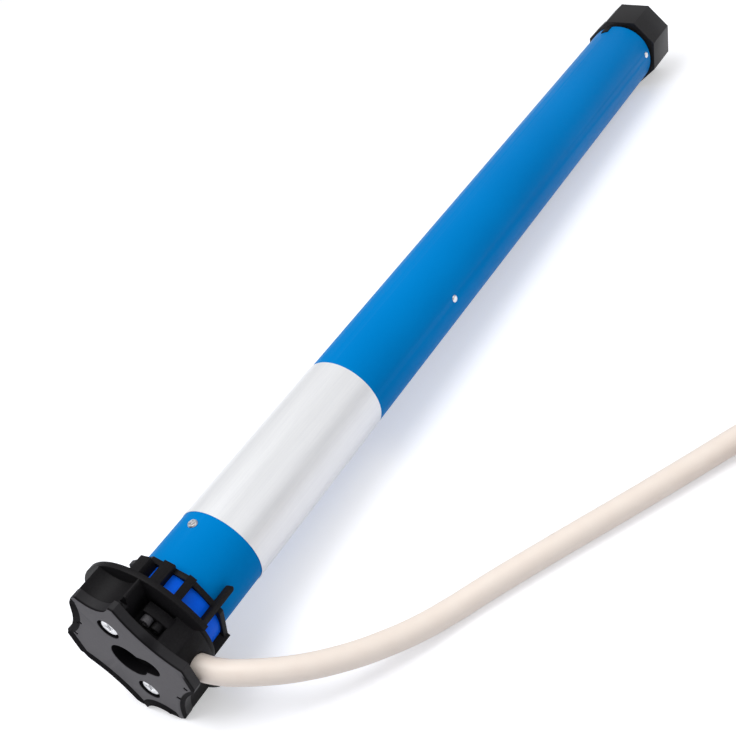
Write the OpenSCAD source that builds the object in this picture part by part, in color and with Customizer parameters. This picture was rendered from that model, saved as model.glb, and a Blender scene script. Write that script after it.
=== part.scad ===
// Tubular roller blind motor that lies inside a 40 mm octagonal blind shaft.
// Millimetres. The origin is the centre of the head's face, +X runs along the motor
// to the drive wheel, +Z is up and the supply cable leaves on the -Y side.
// Clock angles are measured about X from -Y towards +Z.

/* [Tube] */
// Outer diameter of the motor tube
tube_d = 35; // [33:0.5:36]
// Wall of the motor tube
tube_wall = 1; // [0.8:0.1:1.2]
// Gap between the crown and the start of the tube
tube_gap = 0.4; // [0.3:0.1:1]
// Thickness of the label film
label_t = 0.15; // [0.1:0.05:0.3]
// Distance from the head's face to the label
label_x = 52.3; // [50:0.5:60]
// Length of the label
label_len = 83.4; // [60:0.2:100]

/* [Head] */
// Thickness of the star plate
plate_t = 4; // [3:0.5:5]
// Length of the head from its face to the back of the rear flange
head_len = 16; // [16:0.5:20]
// Thickness of the rear flange
flange_t = 2; // [2:0.5:3]
// Half spacing of the two points on each upright arm
arm_point_y = 9.8; // [9:0.2:11]
// Height of the points of the upright arms
arm_point_z = 28.9; // [28:0.1:30]
// Reach of the side arms
side_arm_y = 27.5; // [26.5:0.5:29]
// Half width of the side arms
side_arm_z = 5; // [4:0.2:6]
// Depth of the notch between the points of an upright arm
notch_depth = 5; // [4:0.5:6]
// Depth of the hollow sides between the arms
hollow_depth = 3.4; // [2.5:0.1:4]
// Depth of the sloping rim round the star plate's face
plate_chamfer = 0.6; // [0.4:0.1:1.2]
// Width of the sloping rim
plate_rim_w = 2.6; // [2:0.2:3]
// How far the rim stands out past the head's hollow sides, save at the setting pocket
plate_lip = 1.4; // [0.8:0.2:1.8]
// Diameter of the mounting bore in the star plate
bore_d = 15; // [14:0.5:16]
// Diameter of the keyhole's small lobe
lobe_d = 8.4; // [7:0.2:9]
// Distance of the lobe from the axis
lobe_at = 10; // [9:0.5:11]
// Distance of the plate screws from the axis
plate_screw_r = 16; // [15.6:0.2:18]
// Head diameter of the plate screws
plate_screw_head_d = 8; // [7:0.5:8.5]
// Thread diameter of the plate screws
plate_screw_d = 4; // [3:0.5:4]
// Diameter of the rear flange
rear_flange_d = 60.5; // [60.5:0.5:63]
// Length of the spigot that plugs into the tube
spigot_len = 36; // [34:1:40]
// Wall of the spigot
spigot_wall = 2.4; // [1.8:0.2:2.6]
// Diameter of the limit adjusters
adjuster_d = 3.8; // [3:0.2:4]

/* [Crown] */
// Diameter of the crown's front flange
crown_flange_d = 44; // [44:0.5:50]
// Thickness of the crown's front flange
crown_flange_t = 1.6; // [1.4:0.2:2.4]
// Length of the open cage
cage_len = 8; // [5:0.5:9]
// Length of the crown's rear ring
crown_ring_len = 2; // [2:0.5:5]
// Corner diameter of the crown's octagon
crown_corner_d = 42; // [41:0.2:43]
// Stand of the ribs and clips over the octagon
rib_proud = 0.8; // [0.4:0.2:1.2]
// Width of the crown's ribs
rib_w = 3; // [1.6:0.2:3]
// Length of the long fingers past the rear ring
finger_len = 8; // [4:0.5:12]
// Outer diameter of the blue bearing sleeve
sleeve_d = 36.8; // [36.6:0.1:37.2]

/* [Limit unit] */
// Length of the limit switch unit
limit_len = 64; // [62:1:80]
// Diameter of the limit spindle
spindle_d = 3; // [2.5:0.1:3.4]
// Travel of the limit nuts to each side
nut_travel = 12; // [6:1:12]

/* [Motor] */
// Length of the run capacitor
capacitor_len = 50; // [30:1:70]
// Length of the stator core
stator_len = 70; // [50:1:90]
// Bore of the stator
stator_bore_d = 18.6; // [18:0.2:20]
// Air gap between stator and rotor
air_gap = 0.3; // [0.25:0.05:0.5]
// Length of the winding heads
winding_len = 9; // [6:0.5:12]
// Diameter of the rotor shaft
rotor_shaft_d = 6; // [5:0.5:6.5]
// Thickness of the bearing shields
shield_t = 5; // [5:0.5:8]
// Travel of the brake armature
brake_travel = 0.4; // [0.2:0.1:0.6]

/* [Gearbox] */
// Face width of the first stage planets
planet_w1 = 14; // [10:1:18]
// Face width of the second stage planets
planet_w2 = 18; // [14:1:24]
// Face width of the third stage planets
planet_w3 = 26; // [18:1:30]
// Diameter of the planet pins
pin_d = 3; // [2.5:0.1:3.4]
// Length of the end cover
cover_len = 38.5; // [30:0.5:46]
// Diameter of the output shaft
output_d = 10; // [9:0.5:11]

/* [Drive wheel] */
// Corner diameter of the octagonal wheel
wheel_corner_d = 40; // [39:0.2:43]
// Length of the wheel
wheel_len = 21.2; // [18:0.2:26]
// Gap between the tube's end and the wheel
wheel_gap = 3; // [2:0.5:5]
// Shell of the wheel
wheel_shell = 2.6; // [2:0.2:3.2]
// Width of the groove for the blind shaft's seam
seam_w = 3; // [2:0.5:4]

/* [Cable] */
// Diameter of the supply cable
cable_d = 9; // [8:0.5:9]

/* [Hidden] */
$fn = 64;

// Fits
run_fit = 0.05;
seat_fit = 0.1;
body_gap = 0.4;
film_gap = 0.05;
eps = 0.01;

// Tube and what slides into it
tube_r = tube_d / 2;
unit_r = tube_r - tube_wall - seat_fit;
label_from = -70;
label_to = 150;

// Head
hollow_end = head_len - flange_t;
housing_len = hollow_end - plate_t;
point_chop = 0.5;
nick_at = [[-23.6, -5.4], [-15.6, -13.8]];
nick_w = 1.6;
nick_depth = 1;
star_r = norm([arm_point_y, arm_point_z]) - point_chop;
spigot_end = head_len + spigot_len;
bore_pocket_gap = 0.8;
bore_pocket_r = bore_d / 2 + bore_pocket_gap;
bore_pocket_len = 4;
screw_recess = 0.6;
screw_head_h = 2.2;
screw_grip = 8;
screw_len = plate_t + screw_grip;
screw_turn = 20;
screw_dome = 1.6;
cross_len = 4.4;
cross_w = 0.9;
cross_depth = 1.2;
recess_fit = 0.45;
pocket_from = 35;
pocket_to = 70;
pocket_floor_r = 16;
adjuster_block_to = 61;
adjuster_block_r = 22;
adjuster_block_set = 5;
adjuster_block_x = plate_t + adjuster_block_set;
adjuster_block_len = 3.8;
adjuster_r = 18.8;
adjuster_at = [41.5, 54.5];
adjuster_reach = 2.5;
adjuster_depth = 3;
adjuster_hex = 2;
adjuster_socket = 1.5;
rib_slot_set = 0.6;
rib_slot_x = plate_t + rib_slot_set;
rib_slot_w = 1.8;
rib_slot_r = 25;
rib_slot_size = [10, 6];

// Cable exit: a hole across the head, square to the axis
exit_angle = -14;
exit_x = (plate_t + hollow_end) / 2;
exit_fit = 0.2;
seal_from = 9.4;
seal_to = 13;
exit_reach = 40;
exit_notch_from = -40;
exit_notch_to = 18;
exit_notch_r = 22.5;

// Crown
crown_x = head_len + body_gap;
cage_x = crown_x + crown_flange_t;
crown_ring_x = cage_x + cage_len;
crown_end = crown_ring_x + crown_ring_len;
sleeve_gap = 0.2;
sleeve_x = cage_x + sleeve_gap;
crown_bore_r = sleeve_d / 2 + run_fit;
crown_corner_at = 1.6;
crown_rib_r = crown_corner_d / 2 + rib_proud;
crown_wing_r = 23;
crown_wing_w = 5;
crown_wing_at = 93.4;
crown_clip_at = 71;
crown_clip_r = 21.4;
crown_clip_w = 4.4;
crown_rib_at = crown_corner_at - 1.5;
crown_root = 1;
finger_r = crown_bore_r + sleeve_gap;
finger_h = 2.2;
finger_w = 2.2;
finger_at = crown_corner_at + 7.5;
crown_addendum = 0.7;
ring_addendum = 0.95;

// Limit drive: the crown's inner teeth turn a pinion on the limit spindle
limit_module = 0.8;
crown_teeth = 48;
limit_teeth = 18;
spindle_at = 200;
spindle_r = limit_module * (crown_teeth - limit_teeth) / 2;
pinion_fit = 0.4;
pinion_side_gap = 0.1;
limit_gap = 2;
limit_x = spigot_end + limit_gap;
limit_plate_t = 3;
limit_end = limit_x + limit_len;
nut_size = 7;
nut_len = 6;
nut_gap = 1;
nut_up_x = limit_x + limit_plate_t + nut_gap + nut_travel + nut_len / 2;
nut_down_x = limit_end - limit_plate_t - nut_gap - nut_travel - nut_len / 2;
guide_gap = 0.3;
guide_t = 2;
guide_w = 26;
switch_size = [12, 4.2, 5.4];
switch_x = [limit_x + limit_plate_t + nut_gap, limit_end - limit_plate_t - nut_gap - switch_size[0]];
button_d = 1.6;
button_h = 0.6;
spindle_root = 1.6;
spindle_hole = 1.8;
spindle_front = head_len - spindle_root;
spindle_end = limit_end - limit_plate_t / 2;

// Motor
wire_room = 4;
capacitor_x = limit_end + wire_room;
capacitor_end = capacitor_x + capacitor_len;
can_gap = 0.2;
can_neck = 5;
can_crimp = 1;
can_rim = 0.5;
tab_size = [6, 0.8, 5];
tab_at = 5;
tab_root = 2;
shield_x = capacitor_end + wire_room;
winding_gap = 1;
winding_x = shield_x + shield_t + winding_gap;
stator_x = winding_x + winding_len + winding_gap;
stator_end = stator_x + stator_len;
rear_shield_x = stator_end + winding_gap + winding_len + winding_gap + winding_gap;
rear_shield_end = rear_shield_x + shield_t;
stator_bore_r = stator_bore_d / 2;
rotor_r = stator_bore_r - air_gap;
rotor_inset = 1;
rotor_ring_len = 3;
rotor_ring_step = 0.8;
rotor_bar_r = 0.9;
rotor_bar_at = 6;
rotor_bars = 8;
winding_inset = 0.8;
winding_round = 1.5;
slot_count = 12;
slot_r = 1.9;
slot_at = 12.6;
slot_mouth = 1.2;
bearing_r = 6.5;
shield_holes = 6;
shield_hole_r = 2.4;
shaft_tail = 1;
stator_rivet_set = 9;
stator_rivet_x = stator_x + stator_rivet_set;

// Brake
brake_r = 12.4;
brake_bore_r = 7.5;
pad_t = 2.5;
disc_t = 3;
armature_t = 3;
spring_t = 2.6;
spring_leaf = 0.8;
spring_lip = 1;
brake_cover_t = 3;
disc_x = rear_shield_end + pad_t + body_gap;
armature_x = disc_x + disc_t + body_gap;
spring_gap = 0.3;
spring_x = armature_x + armature_t + brake_travel + spring_gap;
brake_cover_x = spring_x + spring_t;
brake_cover_end = brake_cover_x + brake_cover_t;
brake_pin_r = 14;
brake_pin_d = 2;
brake_pin_root = 1;
brake_ear_r = 1.9;
brake_turns = [0, 120, 240];

// Planetary gears, the same teeth in all three stages
gear_module = 0.6;
sun_teeth = 12;
planet_teeth = 15;
ring_teeth = 42;
pressure = 25;
flank_steps = 3;
backlash = 0.045;
planet_r = gear_module * (sun_teeth + planet_teeth) / 2;
planets = [0, 120, 240];
carrier_r = 11.4;
carrier_t = [5, 6, 8];
planet_w = [planet_w1, planet_w2, planet_w3];
stage_gap = 1;
sun_lead = 0.5;
gear_lead = 3;
gear_x = brake_cover_end + gear_lead;
stage_x1 = gear_x + gear_lead;
stage_x2 = stage_x1 + planet_w1 + carrier_t[0] + 2 * stage_gap + sun_lead;
stage_x3 = stage_x2 + planet_w2 + carrier_t[1] + 2 * stage_gap + sun_lead;
stage_x = [stage_x1, stage_x2, stage_x3];
carrier_end = stage_x3 + planet_w3 + stage_gap + carrier_t[2];
ring_end = carrier_end + stage_gap;
cover_gap = 2;
cover_x = ring_end + cover_gap;
tube_start = crown_end + tube_gap;
tube_end = cover_x + cover_len;
cover_rivet_set = 4.2;
cover_rivet_x = tube_end - cover_rivet_set;
bush_wall = 3;
bush_r = output_d / 2 + bush_wall;
bush_len = 24;
lug_at = 100;
lug_w = 4;
lug_len = 6;
lug_root = 1;
lug_stand = 0.3;
rivet_at = 6.3;
rivet_d = 2.6;
rivet_head_d = 3.4;
rivet_head_h = 0.5;
rivet_dome = 1;
rivet_root = 2;
tube_screw_set = 5.2;
tube_screw_x = spigot_end - tube_screw_set;
tube_screw_turn = 30;
tube_screw_d = 3;
tube_screw_head_d = 4;
tube_screw_head_h = 0.7;
tube_screw_dome = 0.8;
tube_cross_len = 2.4;
tube_cross_w = 0.6;
tube_cross_depth = 0.6;

// Drive wheel
wheel_x = tube_end + wheel_gap;
wheel_end = wheel_x + wheel_len;
wheel_corner_at = 13.8;
wheel_face_t = 2.8;
wheel_hub_r = 9;
spoke_w = 2;
spoke_set = 2;
seam_depth = 1.2;
seam_at = 126.3;
wheel_notch_at = 148.8;
wheel_notch_len = 8.6;
wheel_notch_depth = 2.9;
wheel_notch_w = 16;
square_side = 0.8 * output_d;
square_root = 2;
square_fit = 0.1;
washer_d = 14;
washer_t = 1;
wheel_screw_d = 4;
wheel_screw_len = 16;
wheel_screw_head_d = 8;
wheel_screw_head_h = 2.4;
wheel_screw_dome = 2;
wheel_screw_turn = 10;
wheel_screw_gap = 1;
dish_depth = 1.4;

// The surface that the motor lies on: under the head's points and the wheel's lowest corner
wheel_low = wheel_corner_d / 2 * sin(wheel_corner_at + 270);
rest_slope = (wheel_low + arm_point_z) / (wheel_end - head_len);
function rest_z(x) = rest_slope * (x - head_len) - arm_point_z;

// Cable route past the straight exit, chosen by hand, then the coil that takes up the unseen length
cable_r = cable_d / 2;
cable_route = [[11, -30.2, -7.4], [14.2, -37.2, -8.8], [18, -43.5, -10.4], [22.3, -49.4, -12.1],
    [27.2, -54.9, -13.9], [32.6, -60, -15.7], [38.4, -64.8, -17.5], [44.5, -69.2, -19.1],
    [54, -75.4, -21.2], [66, -82.2, -22.8], [80, -90.8, -22.7], [103, -106.2, -22.2],
    [130, -124.9, -21.5], [164, -147.6, -20.5], [190, -164.7, -19.5]];
cable_sides = 10;
coil_sides = 6;
coil_rings = 24;
coil_pitch = cable_d + 0.6;
coil_lift = 1.6;
coil_in_r = 38.6;
turns_in = 2.75;
turns_out = 2.6;
climb_turns = 0.5;
coil_out_r = coil_in_r + coil_pitch * turns_in;
coil_start = [200, -171.3];
coil_heading = -33.7;
coil_centre = coil_start + coil_out_r * [sin(coil_heading), -cos(coil_heading)];
coil_start_at = coil_heading + 90;
tie_w = 5;
tie_t = 1;
tie_gap = 0.3;
tie_turn = 0.25;
core_d = 2.4;
core_len = 34;
core_straight = 4;
core_sides = 8;
core_ring = 1.85;
core_fan = [1.5, -4.5, -1.5, 4.5];
ferrule_d = 1.8;
ferrule_len = 8;

// Colours
black_plastic = "#2d2d30";
grey_face = "#5d5b5f";
tube_blue = "#0082d7";
sleeve_blue = "#0050dc";
zinc = "#d8d8da";
steel = "#9a9da0";
cream = "#faeee4";

// Local x, y and z become Y, Z and X at the station x
module along_x(x = 0) {
    translate([x, 0, 0]) rotate([90, 0, 90]) children();
}

// Turn local x to a clock angle about the axis
module at_clock(angle) {
    rotate(180 - angle) children();
}

// Run local z outwards from the axis, at station x and a clock angle
module outwards(x, angle) {
    translate([x, 0, 0]) rotate([90 - angle, 0, 0]) children();
}

module disc(x, len, r) {
    along_x(x) cylinder(h = len, r = r);
}

module ring(x, len, r, bore) {
    difference() {
        disc(x, len, r);
        disc(x - 1, len + 2, bore);
    }
}

// Circle that hollows the side from a to b by a depth: [centre, radius]
function hollow(a, b, depth) =
    let (chord = b - a, half = norm(chord) / 2, r = (half * half + depth * depth) / (2 * depth))
    [(a + b) / 2 + [chord[1], -chord[0]] / norm(chord) * (r - depth), r];

star_corners = [[side_arm_y, side_arm_z], [arm_point_y, arm_point_z], [-arm_point_y, arm_point_z],
    [-side_arm_y, side_arm_z], [-side_arm_y, -side_arm_z], [-arm_point_y, -arm_point_z],
    [arm_point_y, -arm_point_z], [side_arm_y, -side_arm_z]];
star_hollows = [for (i = [0, 1, 2, 4, 5, 6])
    hollow(star_corners[i], star_corners[i + 1], (i % 4 == 1) ? notch_depth : hollow_depth)];

module star_2d() {
    intersection() {
        difference() {
            polygon(star_corners);
            for (h = star_hollows) translate(h[0]) circle(r = h[1], $fn = 128);
        }
        circle(r = star_r, $fn = 128);
    }
}

module keyhole_2d() {
    circle(d = bore_d);
    translate([-lobe_at, 0]) circle(d = lobe_d);
    translate([-lobe_at, -lobe_d / 2]) square([lobe_at, lobe_d]);
}

// Tooth outline of an involute gear: tip and root radii, and how much each flank is moved in
function roll(a) = tan(a) * 180 / PI - a;
function half_tooth(m, z, r, inset) =
    let (base = m * z * cos(pressure) / 2, at = max(r, base))
    90 / z - 360 * inset / (PI * m * z) + roll(pressure) - roll(acos(base / at));
function flank_radii(m, z, tip, root) =
    let (from = max(root, m * z * cos(pressure) / 2))
    concat(root < from ? [root] : [], [for (i = [0:flank_steps]) from + (tip - from) * i / flank_steps]);
function tooth_points(m, z, tip, root, inset) =
    let (radii = flank_radii(m, z, tip, root), n = len(radii))
    concat([for (i = [0:n - 1]) [radii[i], -half_tooth(m, z, radii[i], inset)]],
        [for (i = [n - 1:-1:0]) [radii[i], half_tooth(m, z, radii[i], inset)]]);

module gear_2d(m, z, tip, root, inset = backlash) {
    tooth = tooth_points(m, z, tip, root, inset);
    polygon([for (i = [0:z - 1]) for (p = tooth) p[0] * [cos(p[1] + 360 * i / z), sin(p[1] + 360 * i / z)]]);
}

module outer_gear_2d(m, z) {
    gear_2d(m, z, m * (z / 2 + 1), m * (z / 2 - 1.25));
}

module inner_gear_2d(m, z, addendum) {
    gear_2d(m, z, m * (z / 2 + 1.25), m * (z / 2 - addendum), -backlash);
}

// Head

// Profile that leaves a sloping rim: what lies in front of the slope, from the plate's edge inwards
module rim_wedge_2d() {
    slope = plate_rim_w / plate_chamfer;
    polygon([[-1, -1], [plate_rim_w + slope, -1], [0, plate_chamfer], [-1, plate_chamfer]]);
}

// Profile that hollows a side of the plate to a radius and leaves a sloping rim of a width along it
module rim_cut_2d(r, w) {
    slope = w / plate_chamfer;
    polygon([[0, -1], [r + w + slope, -1], [r, plate_chamfer], [r, plate_t + 1], [0, plate_t + 1]]);
}

// Star plate with the keyhole, counterbored screw holes and small nicks for the bracket's spring
module head_plate() {
    color(grey_face) along_x() difference() {
        intersection() {
            linear_extrude(plate_t) polygon(star_corners);
            translate([0, 0, -1]) cylinder(h = plate_t + 2, r = star_r, $fn = 128);
        }
        for (h = star_hollows) let (lip = h[0][0] < -1 && h[0][1] > 0 ? 0 : plate_lip)
            translate(h[0]) rotate_extrude($fn = 128) rim_cut_2d(h[1] - lip, plate_rim_w - plate_lip + lip);
        for (s = [0, 1]) mirror([s, 0, 0]) rotate([90, 0, 0]) linear_extrude(4 * side_arm_z, center = true)
            translate([side_arm_y, 0]) mirror([1, 0]) rim_wedge_2d();
        translate([0, 0, -1]) linear_extrude(plate_t + 2) keyhole_2d();
        for (s = [-1, 1]) translate([0, s * plate_screw_r, -1]) {
            cylinder(h = plate_t + 2, d = plate_screw_d + 2 * seat_fit);
            cylinder(h = 1 + screw_recess + screw_head_h, d = plate_screw_head_d + 2 * recess_fit);
        }
        for (turn = [0, 180]) rotate(turn) for (p = nick_at) translate([p[0], p[1], 0]) rotate(45)
            cube([nick_w, nick_w, 2 * nick_depth], center = true);
    }
}

// Sector between two clock angles, as a polygon that reaches past the head
module sector_2d(from, to) {
    reach = rear_flange_d;
    angles = [for (i = [0:4]) 180 - from - (to - from) * i / 4];
    polygon(concat([[0, 0]], [for (a = angles) reach * [cos(a), sin(a)]]));
}

// Open pocket beside an upright arm, from the pocket's floor outwards
module pocket() {
    translate([0, 0, plate_t]) linear_extrude(housing_len) difference() {
        sector_2d(pocket_from, pocket_to);
        circle(r = pocket_floor_r);
    }
}

// Room for the cable behind the star plate, so that it can turn back along the tube
module exit_notch() {
    translate([0, 0, plate_t - 1]) linear_extrude(head_len - plate_t + 2) difference() {
        sector_2d(exit_notch_from, exit_notch_to);
        circle(r = exit_notch_r);
    }
}

// Block in the pocket that carries the two limit adjusters
module adjuster_block() {
    translate([0, 0, adjuster_block_x]) linear_extrude(adjuster_block_len) intersection() {
        sector_2d(pocket_from - 1, adjuster_block_to);
        circle(r = adjuster_block_r);
    }
}

// Moulded head: star walls, rear flange and the spigot that plugs into the tube
module head_housing() {
    color(black_plastic) difference() {
        union() {
            along_x() {
                difference() {
                    translate([0, 0, plate_t]) linear_extrude(housing_len + eps) star_2d();
                    pocket();
                    rotate(180) pocket();
                }
                adjuster_block();
                translate([0, 0, hollow_end]) intersection() {
                    cylinder(h = flange_t, d = rear_flange_d, $fn = 128);
                    translate([-rear_flange_d, -arm_point_z, -1])
                        cube([2 * rear_flange_d, 2 * rear_flange_d, flange_t + 2]);
                }
            }
            disc(head_len - eps, spigot_len + eps, unit_r);
        }
        along_x() exit_notch();
        disc(head_len, spigot_len + 1, unit_r - spigot_wall);
        disc(plate_t - 1, bore_pocket_len + 1, bore_pocket_r);
        along_x() for (s = [-1, 1]) translate([0, s * plate_screw_r, plate_t - 1])
            cylinder(h = screw_len - plate_t + 2, d = plate_screw_d + 2 * seat_fit);
        for (a = adjuster_at) along_x(adjuster_block_x - 1) at_clock(a) translate([adjuster_r, 0, 0])
            cylinder(h = adjuster_depth + 1, d = adjuster_d + 2 * run_fit);
        along_x(rib_slot_x) for (turn = [0, 180]) rotate(turn) at_clock(pocket_to + 2)
            translate([rib_slot_r, -rib_slot_size[1] / 3, 0])
                cube([rib_slot_size[0], rib_slot_size[1], rib_slot_w]);
        outwards(exit_x, exit_angle) translate([0, 0, seal_from])
            cylinder(h = exit_reach, r = cable_r + exit_fit);
        along_x(head_len) at_clock(spindle_at) translate([spindle_r, 0, 0]) {
            cylinder(h = crown_flange_t + 2 * body_gap,
                r = limit_module * (limit_teeth / 2 + 1) + pinion_fit);
            translate([0, 0, -spindle_hole]) cylinder(h = spindle_hole + 1, d = spindle_d + 2 * run_fit);
        }
        tube_screw_holes();
    }
}

// Pan head screws with a cross recess, sunk into the star plate
module plate_screws() {
    color(zinc) along_x(screw_recess) for (s = [-1, 1]) translate([0, s * plate_screw_r, 0]) difference() {
        union() {
            cylinder(h = screw_head_h / 3, d1 = plate_screw_head_d - screw_dome, d2 = plate_screw_head_d);
            translate([0, 0, screw_head_h / 3]) cylinder(h = screw_head_h * 2 / 3, d = plate_screw_head_d);
            translate([0, 0, screw_head_h]) cylinder(h = screw_len - screw_head_h, d = plate_screw_d);
        }
        for (turn = [0, 90]) rotate(screw_turn + turn)
            cube([cross_len, cross_w, 2 * cross_depth], center = true);
    }
}

// Rubber seal round the cable's cores at the inner end of the exit
module cable_seal() {
    color("#1c1c1e") outwards(exit_x, exit_angle) translate([0, 0, seal_from])
        cylinder(h = seal_to - seal_from, r = cable_r + exit_fit - seat_fit);
}

module limit_adjuster(angle) {
    along_x(adjuster_block_x - adjuster_reach) at_clock(angle) translate([adjuster_r, 0, 0]) difference() {
        cylinder(h = adjuster_reach + adjuster_depth - body_gap, d = adjuster_d);
        translate([0, 0, -1]) cylinder(h = adjuster_socket + 1, d = adjuster_hex, $fn = 6);
    }
}

module limit_adjuster_up() {
    color(black_plastic) limit_adjuster(adjuster_at[0]);
}

module limit_adjuster_down() {
    color(grey_face) limit_adjuster(adjuster_at[1]);
}

// Blue sleeve on the spigot that the crown turns on
module bearing_sleeve() {
    color(sleeve_blue) ring(sleeve_x, crown_end - sleeve_x, sleeve_d / 2, unit_r);
}

// Crown

// Bar across the crown's wall at a clock angle, between two radii
module crown_bar_2d(angle, r_from, r_to, w) {
    at_clock(angle) translate([r_from, -w / 2]) square([r_to - r_from, w]);
}

// Ribs, and pairs of clips and fingers, that cross the cage and the ring
module crown_bars_2d() {
    for (step = [45, 225, 315])
        crown_bar_2d(crown_rib_at + step, crown_bore_r - crown_root, crown_rib_r, rib_w);
    for (turn = [0, 180]) {
        crown_bar_2d(crown_clip_at + turn, crown_bore_r - crown_root, crown_clip_r, crown_clip_w);
        crown_bar_2d(finger_at + turn, finger_r, finger_r + finger_h, finger_w);
    }
}

// Idler crown: toothed front flange, open cage, octagonal rear ring, two fingers and two wings
module crown_ring() {
    color(black_plastic) {
        along_x(crown_x) linear_extrude(crown_flange_t) difference() {
            circle(d = crown_flange_d, $fn = 128);
            at_clock(spindle_at) inner_gear_2d(limit_module, crown_teeth, crown_addendum);
        }
        along_x(cage_x) linear_extrude(cage_len) difference() {
            union() {
                crown_bars_2d();
                for (a = [crown_wing_at, crown_wing_at + 180])
                    crown_bar_2d(a, crown_bore_r - crown_root, crown_wing_r, crown_wing_w);
            }
            circle(r = crown_bore_r);
        }
        along_x(crown_ring_x) linear_extrude(crown_ring_len) difference() {
            union() {
                crown_bars_2d();
                at_clock(crown_corner_at) circle(d = crown_corner_d, $fn = 8);
            }
            circle(r = crown_bore_r);
        }
        for (a = [finger_at, finger_at + 180]) {
            along_x(crown_end - eps) linear_extrude(finger_len - finger_w / 2 + eps)
                crown_bar_2d(a, finger_r, finger_r + finger_h, finger_w);
            outwards(crown_end + finger_len - finger_w / 2, a)
                translate([0, 0, finger_r]) cylinder(h = finger_h, d = finger_w);
        }
    }
}

// Tube

module tube_screw_holes() {
    for (a = [90, 270]) outwards(tube_screw_x, a) translate([0, 0, unit_r - spigot_wall - 1])
        cylinder(h = tube_r, d = tube_screw_d + 2 * seat_fit);
}

module rivet_holes(x) {
    for (a = [rivet_at, rivet_at + 180]) outwards(x, a) translate([0, 0, unit_r - rivet_root])
        cylinder(h = tube_r, d = rivet_d + 2 * seat_fit);
}

// Lug of the end cover in the tube's notch
module lug(grow) {
    along_x(tube_end - lug_len - grow) at_clock(lug_at)
        translate([unit_r - lug_root - grow, -lug_w / 2 - grow, 0])
            cube([tube_r - unit_r + lug_root + lug_stand + 2 * grow, lug_w + 2 * grow, lug_len + 3 * grow]);
}

// Blue painted steel tube
module motor_tube() {
    color(tube_blue) difference() {
        disc(tube_start, tube_end - tube_start, tube_r);
        disc(tube_start - 1, tube_end - tube_start + 2, tube_r - tube_wall);
        tube_screw_holes();
        rivet_holes(stator_rivet_x);
        rivet_holes(cover_rivet_x);
        lug(seat_fit);
    }
}

// Rating label, wrapped part of the way round the tube and left blank
module label_film() {
    color("#ebecf0") along_x(label_x) rotate(180 - label_to)
        rotate_extrude(angle = label_to - label_from, $fn = 128)
            translate([tube_r + film_gap, 0]) square([label_t, label_len]);
}

module tube_screws() {
    color(zinc) for (a = [90, 270]) outwards(tube_screw_x, a) difference() {
        union() {
            translate([0, 0, unit_r - spigot_wall])
                cylinder(h = tube_r - unit_r + spigot_wall + eps, d = tube_screw_d);
            translate([0, 0, tube_r])
                cylinder(h = tube_screw_head_h, d1 = tube_screw_head_d,
                    d2 = tube_screw_head_d - tube_screw_dome);
        }
        translate([0, 0, tube_r + tube_screw_head_h]) for (turn = [0, 90]) rotate(tube_screw_turn + turn)
            cube([tube_cross_len, tube_cross_w, 2 * tube_cross_depth], center = true);
    }
}

module rivets(x) {
    for (a = [rivet_at, rivet_at + 180]) outwards(x, a) {
        translate([0, 0, unit_r - rivet_root])
            cylinder(h = tube_r - unit_r + rivet_root + eps, d = rivet_d);
        translate([0, 0, tube_r])
            cylinder(h = rivet_head_h, d1 = rivet_head_d, d2 = rivet_head_d - rivet_dome);
    }
}

module stator_rivets() {
    color(zinc) rivets(stator_rivet_x);
}

module cover_rivets() {
    color(zinc) rivets(cover_rivet_x);
}

// Limit unit

module at_spindle(x) {
    along_x(x) at_clock(spindle_at) translate([spindle_r, 0, 0]) children();
}

// Two end plates joined by a guide plate that stops the nuts from turning
module limit_frame() {
    guide_r = spindle_r - nut_size / 2 - guide_gap - guide_t;
    color("#3a3a3e") difference() {
        union() {
            disc(limit_x, limit_plate_t, unit_r);
            disc(limit_end - limit_plate_t, limit_plate_t, unit_r);
            along_x(limit_x) at_clock(spindle_at) translate([guide_r, -guide_w / 2, 0])
                cube([guide_t, guide_w, limit_len]);
        }
        at_spindle(limit_x - 1)
            cylinder(h = spindle_end + body_gap - limit_x + 1, d = spindle_d + 2 * run_fit);
    }
}

// Microswitches on the guide plate, one at the end of each nut's travel and one on each side of the nuts
module limit_switches() {
    guide_face = spindle_r - nut_size / 2 - guide_gap;
    nut_side = nut_size / 2 + body_gap + switch_size[1] / 2;
    color("#1d2a44") for (i = [0, 1]) along_x(switch_x[i]) at_clock(spindle_at)
        translate([guide_face, (2 * i - 1) * nut_side, 0]) {
            translate([0, -switch_size[1] / 2, 0]) cube([switch_size[2], switch_size[1], switch_size[0]]);
            translate([switch_size[2] - eps, 0, switch_size[0] / 2]) rotate([0, 90, 0])
                cylinder(h = button_h, d = button_d);
        }
}

// Pinion and threaded spindle in one piece
module limit_spindle() {
    color(steel) {
        at_spindle(spindle_front) cylinder(h = spindle_end - spindle_front, d = spindle_d);
        at_spindle(crown_x + pinion_side_gap)
            linear_extrude(crown_flange_t - 2 * pinion_side_gap) outer_gear_2d(limit_module, limit_teeth);
    }
}

module limit_nut(x) {
    at_spindle(x - nut_len / 2) difference() {
        translate([-nut_size / 2, -nut_size / 2, 0]) cube([nut_size, nut_size, nut_len]);
        translate([0, 0, -1]) cylinder(h = nut_len + 2, d = spindle_d + 2 * run_fit);
    }
}

module limit_nut_up() {
    color("#e3c23a") limit_nut(nut_up_x);
}

module limit_nut_down() {
    color("#e9e6df") limit_nut(nut_down_x);
}

// Motor

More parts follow.
